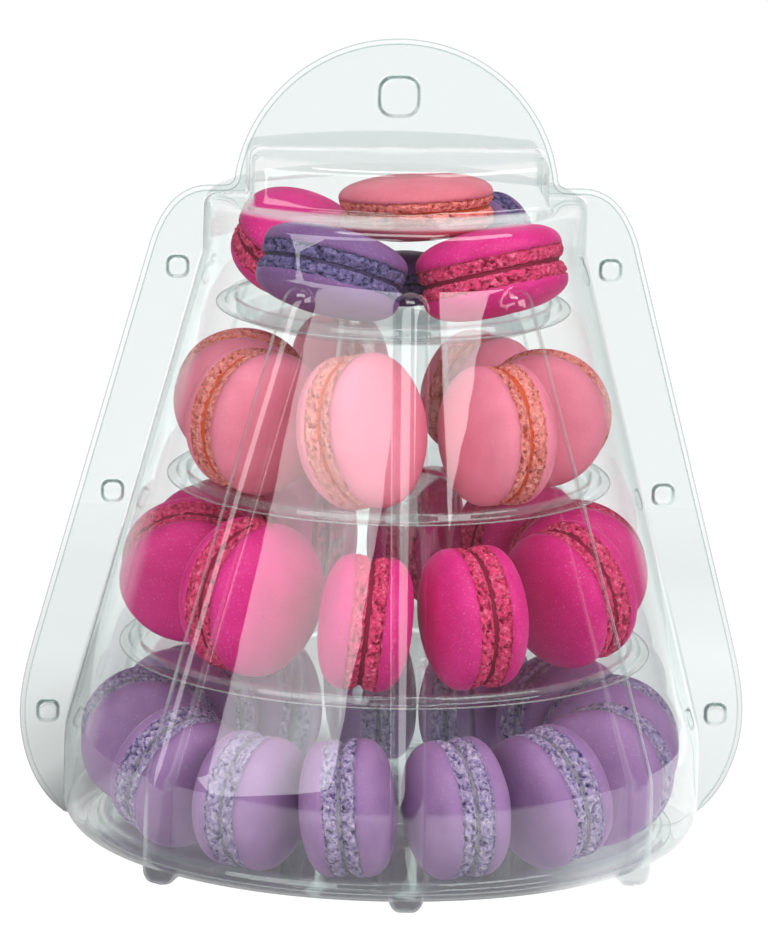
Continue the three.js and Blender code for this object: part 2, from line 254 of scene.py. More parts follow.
# Macarons: two piped almond shells baked with a smooth dome over a frilled, pitted foot, stuck
# together with a thin filling. They stand on edge in rings on the trays, with six lying loose on
# the top tray. They come in six flavours.

SEGMENTS_SHOWN = 216
SEGMENTS_HIDDEN = 96
FILLING_SHARE = 0.05
FILLING_IN = 0.915
FILLING_DIP = 0.01
FILLING_FRILL = 0.15
FOOT_SHARE = 0.36
FOOT_STEP = 0.012
FOOT_LEAN = 0.022
FOOT_BULGE = 0.036
FOOT_TURN = (0.04, 0.94)
FOOT_FRILL = (0.3, 0.7)
DOME_REACH = 0.99
DOME_POWER = 2.45
RIM_SHARE = 0.955
TURN_GUIDE = (0.31, 0.87, 0.38)
PLACE_SHIFT = 40
SWELLS = ((2, 0.008), (3, 0.005), (5, 0.003))
COARSE_CRUMB = 2.2
MIDDLE_CRUMB = 1.15
BROAD_DENT = 11
BROAD_RISE = 0.28
BROAD_SHARE = 0.8
CREASE_WIDTH = 0.55
NOTCH_DEPTH = 0.9
INSIDE_SOLID = 0.992
MOST_FRILL = 0.5
COARSE_HOLES = 1.3
MIDDLE_HOLES = 1.2
HOLES_LESS = 0.25
COARSE_FRILL = 0.7
MIDDLE_FRILL = 0.65
HOLE_DEPTH = 1.2
NOTCH_START = 0.35
COARSE_NOTCH = 1.1
MIDDLE_NOTCH = 0.6
CRUMB_STRETCH = (1, 1, 0.8)
RAGGED_RISE = 0.4
RAGGED_FADE = 0.8
FLOUR = (0.9, 0.78, 0.78, 1)
LUMP_CELLS = 32
LUMP_START = 1000.37
LUMP_STRENGTH = 1.7
SEED_STEP = 10
SEED_START = 5
LAST_SHOWN = {"1": 6, "2": 5, "3": 6, "4": 8}
# Each flavour's pit colour is painted shade for the pits and crevices of its foot and filling; its tip
# colour is partly the crumb's own tone and partly painted highlight.
FLAVOURS = {
    "rose": {
        "shell": "ee88a0", "shade": "e27990", "tip": "fab4a8", "foot": "ec8a84", "pit_shade": "bc4838",
        "filling": "d85a30",
    },
    "magenta": {
        "shell": "e02a88", "shade": "cc1a74", "tip": "f0809c", "foot": "e03c70", "pit_shade": "8c0836",
        "filling": "861838",
    },
    "lilac": {
        "shell": "a078a8", "shade": "8d679a", "tip": "d2c0d2", "foot": "a592b8", "pit_shade": "40306e",
        "filling": "8c8490",
    },
    "lavender": {
        "shell": "865c92", "shade": "744e82", "tip": "9484a8", "foot": "6e6090", "pit_shade": "241c48",
        "filling": "4c3c5c",
    },
    "coral": {
        "shell": "de7688", "shade": "d26878", "tip": "fba89c", "foot": "f0807a", "pit_shade": "a03420",
        "filling": "b84a24",
    },
    "plum": {
        "shell": "6a3482", "shade": "5c2a72", "tip": "8a70a4", "foot": "6c5090", "pit_shade": "2c1a40",
        "filling": "2c1a38",
    },
}


def lumps(points, size, seed):
    """Smooth seeded unevenness between -1 and 1, with bumps about one size across."""
    grid = (LUMP_CELLS, LUMP_CELLS, LUMP_CELLS, 3)
    slopes = np.random.default_rng(seed).normal(size=grid)
    slopes = slopes / np.linalg.norm(slopes, axis=-1, keepdims=True)
    place = points / size + LUMP_START
    cell = np.floor(place).astype(int)
    share = place - cell
    ease = share * share * (3 - 2 * share)
    total = np.zeros(len(points))
    for corner in itertools.product((0, 1), repeat=3):
        weight = np.prod(np.where(corner, ease, 1 - ease), axis=1)
        at = (cell + np.array(corner)) % LUMP_CELLS
        total += weight * np.sum(slopes[at[:, 0], at[:, 1], at[:, 2]] * (share - corner), axis=1)
    return total * LUMP_STRENGTH


def baked_shell(name, shell, shade):
    """Matte almond shell, gently mottled and darker towards its foot, with fine flour specks and a soft
    sheen.
    """
    material, wire, end = new_material(name)
    place = wire.node("TexCoord", {}, {}, "Object")
    broad = wire.node("TexNoise", {}, {"Vector": place, "Scale": 110.0, "Detail": 3.0}, "Fac")
    grain = wire.node("TexNoise", {}, {"Vector": place, "Scale": 1500.0, "Detail": 2.0}, "Fac")
    rise = wire.node("Attribute", {"attribute_name": "rise"}, {}, "Fac")
    # The shell colour runs to the darker one towards the shell's foot, by its rise, as well as in broad
    # mottles.
    blotch = (broad * 1.8 - 0.4 + (0.35 - rise) * 0.5).clamped()
    speck = (grain * 5.0 - 3.0).clamped() * 0.22
    mixed = wire.node("Mix", {"data_type": "RGBA"}, {0: blotch, 6: colour(shell), 7: colour(shade)}, 2)
    pale = wire.node("Mix", {"data_type": "RGBA"}, {0: speck, 6: mixed, 7: FLOUR}, 2)
    height = grain * 0.5 + broad * 0.5
    skin = wire.node("Bump", {}, {"Height": height, "Strength": 0.18, "Distance": 0.0006}, "Normal")
    rough = broad * 0.2 + 0.42
    body = wire.node("BsdfPrincipled", {}, {
        "Base Color": pale, "Roughness": rough, "Normal": skin, "Specular IOR Level": 0.25,
    })
    wire.tree.links.new(body.socket, end.inputs["Surface"])
    return material


def baked_crumb(name, tip, crumb, pit_shade, bump):
    """Open crumb, pale on its high points, partly its own tone and partly painted highlight,
    with painted shade in its pits and creases.
    """
    material, wire, end = new_material(name)
    place = wire.node("TexCoord", {}, {}, "Object")
    crevice_shade = wire.node("Attribute", {"attribute_name": "crevice_shade"}, {}, "Fac")
    crag = wire.node("TexNoise", {}, {
        "Vector": place, "Scale": 620.0, "Detail": 3.0, "Roughness": 0.6,
    }, "Fac")
    bubble = wire.node("TexVoronoi", {}, {"Vector": place, "Scale": 780.0}, "Distance")
    # The pit colour is painted shade: it darkens the low crumb, the bubble pits and the crevices marked
    # on the mesh, where shade falls.
    pits = (1.0 - bubble * 3.4).clamped()
    painted_pit_shade = (crevice_shade * 0.85 + ((0.46 - crag) * 7.0).clamped() * 0.8 + pits * 0.45).clamped()
    # The tip colour on the high points is partly the crumb's own paler tone and partly painted highlight.
    high = ((crag - 0.53) * 6.0).clamped()
    pale = wire.node("Mix", {"data_type": "RGBA"}, {0: high, 6: colour(crumb), 7: colour(tip)}, 2)
    mixed = wire.node("Mix", {"data_type": "RGBA"}, {0: painted_pit_shade, 6: pale, 7: colour(pit_shade)}, 2)
    height = crag - pits * 0.5
    skin = wire.node("Bump", {}, {"Height": height, "Strength": bump, "Distance": 0.0014}, "Normal")
    body = wire.node("BsdfPrincipled", {}, {
        "Base Color": mixed, "Roughness": 0.6 + crag * 0.25, "Normal": skin, "Specular IOR Level": 0.25,
    })
    wire.tree.links.new(body.socket, end.inputs["Surface"])
    return material


def macaron_profile(dome_rows, foot_rows, filling_rows):
    """Rows from the middle of the filling to the crown: radius and height as shares, which layer
    each is in (0 shell, 1 foot, 2 filling) and how strongly its crumb is frilled."""
    rows = []
    for share in np.linspace(0, 1, filling_rows, endpoint=False):
        rows.append((FILLING_IN - FILLING_DIP * share ** 2, FILLING_SHARE * share, 2, FILLING_FRILL))
    for share in np.linspace(0, 1, foot_rows, endpoint=False):
        bulge = math.sin(math.pi * (FOOT_TURN[0] + FOOT_TURN[1] * share)) ** 0.5
        rise = FILLING_SHARE + (FOOT_SHARE - FILLING_SHARE) * share
        reach = FILLING_IN + FOOT_STEP + FOOT_LEAN * share + FOOT_BULGE * bulge
        rows.append((reach, rise, 1, FOOT_FRILL[0] + FOOT_FRILL[1] * bulge))
    for turn in np.linspace(0, math.pi / 2, dome_rows):
        reach = math.cos(turn) ** (2 / DOME_POWER)
        rise = FOOT_SHARE + (1 - FOOT_SHARE) * math.sin(turn) ** (2 / DOME_POWER)
        rows.append((DOME_REACH * reach, rise, 0, 0))
    return rows


def macaron(name, node, materials, segments, rows, seed):
    """One macaron in the place of its solid, with its own unevenness."""
    solid = np.array([v.co for v in frame["nodes"][node].data.vertices]) / MM
    unique = np.unique(np.round(solid, 3), axis=0)
    centre = unique.mean(0)
    spread = np.linalg.eigh((unique - centre).T @ (unique - centre))
    axis = spread[1][:, 0]
    along = (unique - centre) @ axis
    half = (along.max() - along.min()) / 2
    centre = centre + axis * (along.max() + along.min()) / 2
    across = np.linalg.norm((unique - centre) - np.outer((unique - centre) @ axis, axis), axis=1)
    radius = across[across > RIM_SHARE * across.max()].mean()
    side = np.cross(axis, TURN_GUIDE)
    side = side / np.linalg.norm(side)
    other = np.cross(axis, side)

    draw = np.random.default_rng(seed)
    whole = [(r, -h, layer, frill) for r, h, layer, frill in rows[:0:-1]] + rows
    reach = np.array([row[0] for row in whole[1:-1]])
    height = np.array([row[1] for row in whole[1:-1]])
    layer = np.array([row[2] for row in whole[1:-1]])
    frill = np.array([row[3] for row in whole[1:-1]])
    turn = np.linspace(0, 2 * math.pi, segments, endpoint=False)
    ring_reach = np.repeat(reach, segments)
    ring_height = np.repeat(height, segments) * half
    ring_layer = np.repeat(layer, segments)
    ring_frill = np.repeat(frill, segments)
    ring_turn = np.tile(turn, len(reach))
    upper = ring_height > 0
    flat = np.stack([np.cos(ring_turn), np.sin(ring_turn)], 1)
    shift = draw.uniform(-PLACE_SHIFT, PLACE_SHIFT, 3)
    local = np.column_stack([flat * (ring_reach * radius)[:, None], ring_height]) + shift
    swell = np.ones(len(local))
    for shell in (upper, ~upper):
        phase = draw.uniform(0, 2 * math.pi, 3)
        for (waves, size), start in zip(SWELLS, phase):
            swell[shell] += size * np.sin(waves * ring_turn[shell] + start)
    coarse = lumps(local * CRUMB_STRETCH, COARSE_CRUMB, seed + 1)
    middle = lumps(local, MIDDLE_CRUMB, seed + 2)
    holes = np.clip(-coarse * COARSE_HOLES - middle * MIDDLE_HOLES - HOLES_LESS, 0, 1)
    frilled = ring_frill * (COARSE_FRILL * coarse + MIDDLE_FRILL * middle - HOLE_DEPTH * holes)
    broad = lumps(local, BROAD_DENT, seed + 3) * BROAD_RISE * (ring_layer == 0)
    from_crease = (np.abs(ring_height) - FOOT_SHARE * half) / CREASE_WIDTH
    crease = np.exp(-from_crease ** 2) * (ring_layer == 1)
    notch = crease * np.clip(NOTCH_START + COARSE_NOTCH * coarse + MIDDLE_NOTCH * middle, 0, 1)
    plain = ring_reach * radius * swell * INSIDE_SOLID
    radial = plain + np.minimum(frilled, MOST_FRILL) - NOTCH_DEPTH * notch
    above_foot = np.maximum(np.abs(ring_height) - FOOT_SHARE * half, 0)
    into_filling = np.minimum(np.abs(ring_height) / (FILLING_SHARE * half), 1)
    torn = RAGGED_RISE * middle + RAGGED_RISE * coarse
    ragged = torn * np.exp(-above_foot / RAGGED_FADE) * into_filling
    lifted = ring_height * (1 + broad / half * BROAD_SHARE) + ragged * np.sign(ring_height)
    # Painted shade: the holes and the notch at the shell's edge make a mask that darkens the foot's
    # colour there.
    crevice_shade = np.clip(holes + notch, 0, 1)
    centred = flat[:, :1] * radial[:, None] * side + flat[:, 1:] * radial[:, None] * other
    points = centre + centred + np.outer(lifted, axis)
    poles = np.array([centre - axis * half * abs(whole[0][1]), centre + axis * half * whole[-1][1]])
    points = np.vstack([points, poles])
    points[:, 2] += max(0, solid[:, 2].min() - points[:, 2].min())

    count = len(reach)
    faces = []
    marks = []
    for row in range(count - 1):
        low = row * segments
        high = low + segments
        mark = int(max(layer[row], layer[row + 1]))
        for k in range(segments):
            after = (k + 1) % segments
            faces.append((low + k, low + after, high + after, high + k))
            marks.append(mark)
    bottom = count * segments
    last = (count - 1) * segments
    for k in range(segments):
        after = (k + 1) % segments
        faces.append((bottom, after, k))
        marks.append(0)
        faces.append((bottom + 1, last + k, last + after))
        marks.append(0)
    mesh = bpy.data.meshes.new(name)
    mesh.from_pydata((points * MM).tolist(), [], faces)
    mesh.update()
    mesh.shade_smooth()
    for material in materials:
        mesh.materials.append(material)
    mesh.polygons.foreach_set("material_index", marks)
    rise = np.clip((np.abs(ring_height) / half - FOOT_SHARE) / (1 - FOOT_SHARE), 0, 1)
    mesh.attributes.new("rise", "FLOAT", "POINT").data.foreach_set("value", [*rise, 1, 1])
    mesh.attributes.new("crevice_shade", "FLOAT", "POINT").data.foreach_set("value", [*crevice_shade, 0, 0])
    piece = bpy.data.objects.new(name, mesh)
    bpy.context.scene.collection.objects.link(piece)
    return piece


slots = {part["node"]: part["material_slot"] for part in frame["record"]["subparts"]}
layers = {}
for flavour, codes in FLAVOURS.items():
    layers[flavour] = [
        baked_shell(flavour + "_shell", codes["shell"], codes["shade"]),
        baked_crumb(flavour + "_foot", codes["tip"], codes["foot"], codes["pit_shade"], bump=0.9),
        baked_crumb(flavour + "_filling", codes["filling"], codes["filling"], codes["pit_shade"], bump=0.4),
    ]
fine_rows = macaron_profile(dome_rows=15, foot_rows=16, filling_rows=3)
plain_rows = macaron_profile(dome_rows=12, foot_rows=9, filling_rows=2)
macaron_nodes = sorted(node for node in frame["nodes"] if node.startswith("macaron_"))
for seed, node in enumerate(macaron_nodes):
    tier, place = node.split("_")[1:]
    shown = int(place) <= LAST_SHOWN[tier]
    segments = SEGMENTS_SHOWN if shown else SEGMENTS_HIDDEN
    rows = fine_rows if shown else plain_rows
    own_seed = seed * SEED_STEP + SEED_START
    piece = macaron(node + ".baked", node, layers[slots[node]], segments, rows, own_seed)
    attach(piece, "root")
    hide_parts(node)


# Case halves: each a shell, flange and half-round handle pressed from one clear sheet, with three
# hollow ribs that end as feet. Snap studs through the flanges hold the two halves together.

CASE_SHEET = 0.5
SPLIT_GAP = 0.15
FOLD_RADIUS = 1.2
FLOOR_Z = 1.0
WALL_RADIUS = 108
CORNER_RADIUS = 10
BEND_Z = 35
BEND_RADIUS = 35
COLLAR_RADIUS = 64.5
COLLAR_Z = 200
SHOULDER_Z = 219.5
SHOULDER_RADIUS = 4
NECK_HALF_WIDTH = 49.6
NECK_SIDE_DEPTH = 21
NECK_BOW = 53.8
NECK_TOP_Z = 235.5
NECK_EDGE = 3.5
NECK_CORNER = 5
NECK_FILLET = 1.4
NECK_SIDE_ROUND = 0.5
NECK_BOW_STEPS = 60
NECK_CORNER_STEPS = 8
NORMAL_REACH = 0.6
RIB_RADIUS = 6
RIB_SINK = 1
RIB_TOP_Z = 193.4
RIB_TOP_ANGLE = 33
RIB_FOOT_ANGLE = 47.5
FOOT_CENTRE_Z = 4.8
RIB_LANE = 9
RIB_OFFSETS = (0, 1.2, 2.3, 3.3, 4.1, 4.8, 5.3, 5.6, 5.8, 5.92, 6.05, 6.3, 6.8, 7.6)
RIB_PINCH = 0.1
RIB_SPREAD = 10
RIB_CREASE = 0.2
COLLAR_EASE = 0.8
PLAIN_COLUMNS = 12
ROUND_ROWS = 7
NECK_WALL_ROWS = 5
NECK_FILLET_ROWS = 6
COLLAR_BEND_ROWS = 5
RIB_END_ROWS = 14
WALL_ROWS = 28
WALL_ROW_GAPS = (3, 1)
LOW_WALL_ROWS = 5
COLLAR_ROWS = (5, 11)
NECK_TOP_SHARES = (0, 0.3, 0.6, 0.85)
SHOULDER_SHARES = (0.35, 0.7)
FLOOR_SHARES = (0.97, 0.8, 0.5, 0.2, 0)
FOOT_TURNS = (0, 8, 16, 23, 30, 37, 44, 50, 55, 60, 64, 67, 70, 73, 77, 83, 90)
LAST_FLANGE_TURN = 30
FOOT_SEARCH_STEP = 0.02
FOLD_TURNS = (0, 30, 60, 90)
LEAST_TURN = 1e-7
FLANGE_TOP_Z = 222.5
FLANGE_TOP_HALF = 63
FLANGE_SHOULDER = (82.6, 203)
FLANGE_KNEE = (118.2, 70)
FLANGE_WIDEST = (123.5, 40.5)
FLANGE_TOE = (100, 2.2)
FLANGE_TOE_PULL = (115, 5)
FLANGE_LOW_PULL_Z = 24
FLANGE_HIGH_PULL_Z = 50
FLANGE_KNEE_PULL = (121.1, 59)
FLANGE_SHOULDER_ROUND = 6
FLANGE_START = 0.2
FLANGE_LOW_STEPS = 40
FLANGE_HIGH_STEPS = 14
FLANGE_SIDE_STEPS = 20
FLANGE_SHOULDER_STEPS = 14
HANDLE_CENTRE_Z = 217.8
HANDLE_RADIUS = 55.1
HANDLE_FILLET = 4
HANDLE_FILLET_STEPS = 8
HANDLE_STEPS = 44
EDGE_TAPER = 5
STUD_SIZE = 8.6
HANDLE_STUD_SIZE = 15
STUD_CORNER_SHARE = 0.34
STUD_CORNER_INSET = 0.5
STUD_CORNER_STEPS = 6
STUD_WALL_STEPS = (1, 2, 3)
STUD_STEPS = ((0, 0), (0.25, 0.06), (0.5, 0.3), (0.62, 0.65), (0.85, 0.88), (1.3, 0.98), (2.0, 1.0))
HANDLE_STUD_Z = 253.4
FLANGE_STUDS = ((73.1, 194.8), (93.5, 117.4), (114, 40.8))
HALVES = {
    "case_back": {"side": 1, "trim": 0, "stud_rise": -2.2, "stud_trim": 1.3},
    "case_front": {"side": -1, "trim": 1.6, "stud_rise": 2.3, "stud_trim": 0},
}
RIB_EDGE = math.sqrt(RIB_RADIUS ** 2 - RIB_SINK ** 2)
WALL_LEAN = math.atan2(WALL_RADIUS - COLLAR_RADIUS, COLLAR_Z - BEND_Z)


def past_rib(height):
    """How far up the wall a height lies above the start of the ribs' round ends."""
    return max(height - RIB_TOP_Z, 0) / math.cos(WALL_LEAN)


def rib_offsets(height):
    """Distances of one rib's columns from its middle, which close in along its round top end."""
    past = past_rib(height)
    width = math.sqrt(max(1 - (past / RIB_EDGE) ** 2, 0))
    width = max(width, RIB_PINCH, min((past - RIB_EDGE) / RIB_SPREAD, 1))
    half = np.interp(RIB_OFFSETS, (0, RIB_EDGE, RIB_LANE), (0, RIB_EDGE * width, RIB_LANE))
    return np.concatenate([-half[:0:-1], half])


def rib_angle(height):
    """Angle of the side ribs from the front, at a height."""
    share = min(max((height - BEND_Z) / (RIB_TOP_Z - BEND_Z), 0), 1)
    foot = np.array([math.sin(math.radians(RIB_FOOT_ANGLE)), math.cos(math.radians(RIB_FOOT_ANGLE))])
    top = np.array([math.sin(math.radians(RIB_TOP_ANGLE)), math.cos(math.radians(RIB_TOP_ANGLE))])
    top_radius = WALL_RADIUS - math.tan(WALL_LEAN) * (RIB_TOP_Z - BEND_Z)
    line = foot * WALL_RADIUS * (1 - share) + top * top_radius * share
    return math.atan2(line[0], line[1])


def wall_columns(radius, height):
    """Angles from the front of the columns of one half's wall, at a radius and height."""
    side = rib_angle(height)
    lane = RIB_LANE / radius
    last = math.acos((SPLIT_GAP + CASE_SHEET + FOLD_RADIUS) / radius)
    offsets = rib_offsets(height) / radius
    outer = np.linspace(side + lane, last, PLAIN_COLUMNS)
    inner = np.linspace(lane, side - lane, PLAIN_COLUMNS)
    right = np.concatenate([inner, side + offsets, outer])
    return np.concatenate([-right[::-1], offsets, right])


def rib_distance(height):
    """Distance of each column from the middle of its rib, or past the rib where it has none."""
    offsets = rib_offsets(height)
    plain = np.full(PLAIN_COLUMNS, float(RIB_LANE))
    right = np.concatenate([plain, offsets, plain])
    return np.abs(np.concatenate([right[::-1], offsets, right]))


def rib_stand(height):
    """How far each column stands out of the wall, with a soft crease beside each rib."""
    round_part = np.maximum(RIB_RADIUS ** 2 - rib_distance(height) ** 2 - past_rib(height) ** 2, 0)
    stand = np.sqrt(round_part) - RIB_SINK
    return np.where(round_part > 0, (stand + np.sqrt(stand ** 2 + RIB_CREASE ** 2)) / 2, 0)


def wall_profile(height):
    """Radius and outward direction of the wall between the shoulder and the bend."""
    slope = math.tan(WALL_LEAN)
    below = COLLAR_Z - height
    eased = min(max(below + COLLAR_EASE, 0), 2 * COLLAR_EASE)
    radius = COLLAR_RADIUS + slope * eased ** 2 / (4 * COLLAR_EASE) + slope * max(below - COLLAR_EASE, 0)
    lean = math.atan(slope * eased / (2 * COLLAR_EASE))
    return radius, (math.cos(lean), math.sin(lean))


def foot_reach(turn):
    """How far each column's foot reaches from the middle of the floor corner, looking down by turn."""
    steps = np.arange(CORNER_RADIUS, 3 * CORNER_RADIUS, FOOT_SEARCH_STEP)
    across = WALL_RADIUS - CORNER_RADIUS + steps * math.cos(turn) - (WALL_RADIUS - RIB_SINK)
    height = FLOOR_Z + CORNER_RADIUS - steps * math.sin(turn)
    reach = []
    for distance in rib_distance(0):
        room = RIB_RADIUS ** 2 - distance ** 2
        below = np.minimum(height - FOOT_CENTRE_Z, 0)
        inside = (across ** 2 + below ** 2 <= room) & (height >= 0)
        reach.append(steps[inside].max() if inside.any() else CORNER_RADIUS)
    return np.array(reach)


def wall_row(radius, height, outward, stand):
    """Points of one row of the wall, moved out along the profile's normal by what stands out."""
    turn = wall_columns(radius, height)
    reach = radius + outward[0] * stand
    level = np.broadcast_to(height + outward[1] * stand, turn.shape)
    return np.column_stack([reach * np.sin(turn), -reach * np.cos(turn), level])


def neck_outline():
    """The neck's outline and outward normals, one for each column of the wall."""
    start = -(SPLIT_GAP + CASE_SHEET + FOLD_RADIUS)
    bow = []
    for share in np.linspace(0, 1, NECK_BOW_STEPS):
        x = NECK_HALF_WIDTH * (2 * share - 1)
        y = -NECK_SIDE_DEPTH * ((1 - share) ** 2 + share ** 2) - NECK_BOW * 2 * share * (1 - share)
        bow.append((x, y))
    bow = [point for point in bow if abs(point[0]) < NECK_HALF_WIDTH - NECK_CORNER]
    left = [
        (-NECK_HALF_WIDTH, start, 0),
        (-NECK_HALF_WIDTH, -NECK_SIDE_DEPTH - NECK_SIDE_ROUND, NECK_CORNER),
        (*bow[0], 0),
    ]
    corner = rounded(left, NECK_CORNER_STEPS)
    path = np.array([*corner, *bow[1:-1], *[(-x, y) for x, y in corner[::-1]]])
    travel = np.concatenate([[0], np.cumsum(np.linalg.norm(np.diff(path, axis=0), axis=1))])
    turn = wall_columns(COLLAR_RADIUS, SHOULDER_Z)
    want = (turn - turn[0]) / (turn[-1] - turn[0]) * travel[-1]
    points = np.column_stack([np.interp(want, travel, path[:, k]) for k in (0, 1)])
    ahead = np.column_stack([np.interp(want + NORMAL_REACH, travel, path[:, k]) for k in (0, 1)])
    behind = np.column_stack([np.interp(want - NORMAL_REACH, travel, path[:, k]) for k in (0, 1)])
    along = ahead - behind
    along = along / np.linalg.norm(along, axis=1)[:, None]
    return points, np.column_stack([along[:, 1], -along[:, 0]])


def shell_rows():
    """Rows of one half's shell from the top of the neck down to the middle of the floor. With each
    goes the outward direction of its profile at the split, or nothing where it has no flange."""
    outline, normal = neck_outline()
    middle = np.array([0, outline[0][1]])
    rows = []

    def neck_row(out, height, direction, share=1):
        flat = middle + (outline + normal * out - middle) * share
        rows.append((np.column_stack([flat, np.full(len(flat), height)]), direction))

    for share in NECK_TOP_SHARES:
        neck_row(-NECK_EDGE, NECK_TOP_Z, (0, 1), share)
    for turn in np.radians(np.linspace(0, 90, ROUND_ROWS)):
        direction = (math.sin(turn), math.cos(turn))
        neck_row(NECK_EDGE * (direction[0] - 1), NECK_TOP_Z - NECK_EDGE * (1 - direction[1]), direction)
    wall_foot = SHOULDER_Z + NECK_FILLET
    for height in np.linspace(NECK_TOP_Z - NECK_EDGE, wall_foot, NECK_WALL_ROWS)[1:]:
        neck_row(0, height, (1, 0))
    for turn in np.radians(np.linspace(0, 90, NECK_FILLET_ROWS))[1:]:
        direction = (math.cos(turn), math.sin(turn))
        neck_row(NECK_FILLET * (1 - direction[0]), wall_foot - NECK_FILLET * direction[1], direction)
    edge = wall_row(COLLAR_RADIUS - SHOULDER_RADIUS, SHOULDER_Z, (0, 1), 0)
    inner = rows[-1][0]
    for share in SHOULDER_SHARES:
        rows.append((inner + (edge - inner) * share, (0, 1)))
    for turn in np.radians(np.linspace(0, 90, ROUND_ROWS)):
        direction = (math.sin(turn), math.cos(turn))
        radius = COLLAR_RADIUS - SHOULDER_RADIUS * (1 - direction[0])
        height = SHOULDER_Z - SHOULDER_RADIUS * (1 - direction[1])
        rows.append((wall_row(radius, height, direction, 0), direction))
    collar_end = SHOULDER_Z - SHOULDER_RADIUS
    round_top = [RIB_TOP_Z + RIB_EDGE * math.cos(WALL_LEAN) * math.sin(turn) for turn in
                 np.radians(np.linspace(90, 0, RIB_END_ROWS))]
    bend_leg = BEND_RADIUS * math.tan(WALL_LEAN / 2)
    down = np.linspace(RIB_TOP_Z - WALL_ROW_GAPS[0], BEND_Z + bend_leg + WALL_ROW_GAPS[1], WALL_ROWS)
    bend = np.linspace(COLLAR_Z + COLLAR_EASE, COLLAR_Z - COLLAR_EASE, COLLAR_BEND_ROWS)[:-1]
    collar = [collar_end - below for below in COLLAR_ROWS]
    for height in (*collar, *bend, *round_top, *down):
        radius, direction = wall_profile(height)
        rows.append((wall_row(radius, height, direction, rib_stand(height)), direction))
    for turn in np.linspace(WALL_LEAN, 0, ROUND_ROWS):
        direction = (math.cos(turn), math.sin(turn))
        radius = WALL_RADIUS - BEND_RADIUS * (1 - direction[0])
        height = BEND_Z - bend_leg + BEND_RADIUS * direction[1]
        rows.append((wall_row(radius, height, direction, rib_stand(height)), direction))
    for height in np.linspace(BEND_Z - bend_leg, FLOOR_Z + CORNER_RADIUS, LOW_WALL_ROWS)[1:-1]:
        rows.append((wall_row(WALL_RADIUS, height, (1, 0), rib_stand(height)), (1, 0)))
    corner_radius = WALL_RADIUS - CORNER_RADIUS
    corner_height = FLOOR_Z + CORNER_RADIUS
    for degrees in FOOT_TURNS:
        turn = math.radians(degrees)
        reach = foot_reach(turn)
        columns = wall_columns(WALL_RADIUS, corner_height)
        radius = corner_radius + reach * math.cos(turn)
        level = corner_height - reach * math.sin(turn)
        points = np.column_stack([radius * np.sin(columns), -radius * np.cos(columns), level])
        rows.append((points, (math.cos(turn), -math.sin(turn)) if degrees <= LAST_FLANGE_TURN else None))
    ring = rows[-1][0]
    centre = np.array([0, ring[0][1], FLOOR_Z])
    for share in FLOOR_SHARES:
        rows.append((centre + (ring - centre) * share, None))
    return rows


def curve(points, steps):
    """Points along a Bezier curve of any degree, without its first one."""
    points = np.array(points, float)
    degree = len(points) - 1
    found = []
    for share in np.linspace(0, 1, steps + 1)[1:]:
        rest = 1 - share
        weights = [math.comb(degree, k) * share ** k * rest ** (degree - k) for k in range(degree + 1)]
        found.append(tuple(np.array(weights) @ points))
    return found


def flange_outline():
    """The outer edge from the right toe up round the handle and down to the left toe."""
    widest = FLANGE_WIDEST
    low = curve([FLANGE_TOE, FLANGE_TOE_PULL, (widest[0], FLANGE_LOW_PULL_Z), widest], FLANGE_LOW_STEPS)
    points = [point for k, point in enumerate(low) if (k + 1) / FLANGE_LOW_STEPS >= FLANGE_START]
    high = [widest, (widest[0], FLANGE_HIGH_PULL_Z), FLANGE_KNEE_PULL, FLANGE_KNEE]
    points += curve(high, FLANGE_HIGH_STEPS)
    points += curve([FLANGE_KNEE, FLANGE_SHOULDER], FLANGE_SIDE_STEPS)
    round_x = FLANGE_SHOULDER[0] - FLANGE_SHOULDER_ROUND
    shoulder = [FLANGE_SHOULDER, (round_x, FLANGE_TOP_Z), (FLANGE_TOP_HALF, FLANGE_TOP_Z)]
    points += curve(shoulder, FLANGE_SHOULDER_STEPS)
    root_z = FLANGE_TOP_Z + HANDLE_FILLET
    start = math.asin((root_z - HANDLE_CENTRE_Z) / HANDLE_RADIUS)
    root_x = HANDLE_RADIUS * math.cos(start)
    root = (root_x + HANDLE_FILLET, FLANGE_TOP_Z)
    points.append(root)
    points += curve([root, (root_x, FLANGE_TOP_Z), (root_x, root_z)], HANDLE_FILLET_STEPS)
    for turn in np.linspace(start, math.pi / 2, HANDLE_STEPS)[1:]:
        points.append((HANDLE_RADIUS * math.cos(turn), HANDLE_CENTRE_Z + HANDLE_RADIUS * math.sin(turn)))
    return np.array(points + [(-x, z) for x, z in points[-2::-1]])


def drawn_in(outline, width):
    """The outline moved inwards by a width that runs out to nothing at both toes."""
    along = np.gradient(outline, axis=0)
    along = along / np.linalg.norm(along, axis=1)[:, None]
    order = np.arange(len(outline))
    width = width * np.minimum(np.minimum(order, order[::-1]) / EDGE_TAPER, 1)
    return outline + np.column_stack([-along[:, 1], along[:, 0]]) * width[:, None]


def stud_outline(place, size, inset):
    """A square with well rounded corners, drawn in by an inset."""
    half = size / 2 - inset
    corner = size * STUD_CORNER_SHARE - inset * STUD_CORNER_INSET
    points = []
    for quarter, (across, up) in enumerate(((1, 1), (-1, 1), (-1, -1), (1, -1))):
        for turn in np.linspace(0, math.pi / 2, STUD_CORNER_STEPS) + quarter * math.pi / 2:
            x = across * (half - corner) + corner * math.cos(turn)
            z = up * (half - corner) + corner * math.sin(turn)
            points.append((place[0] + x, place[1] + z))
    return points


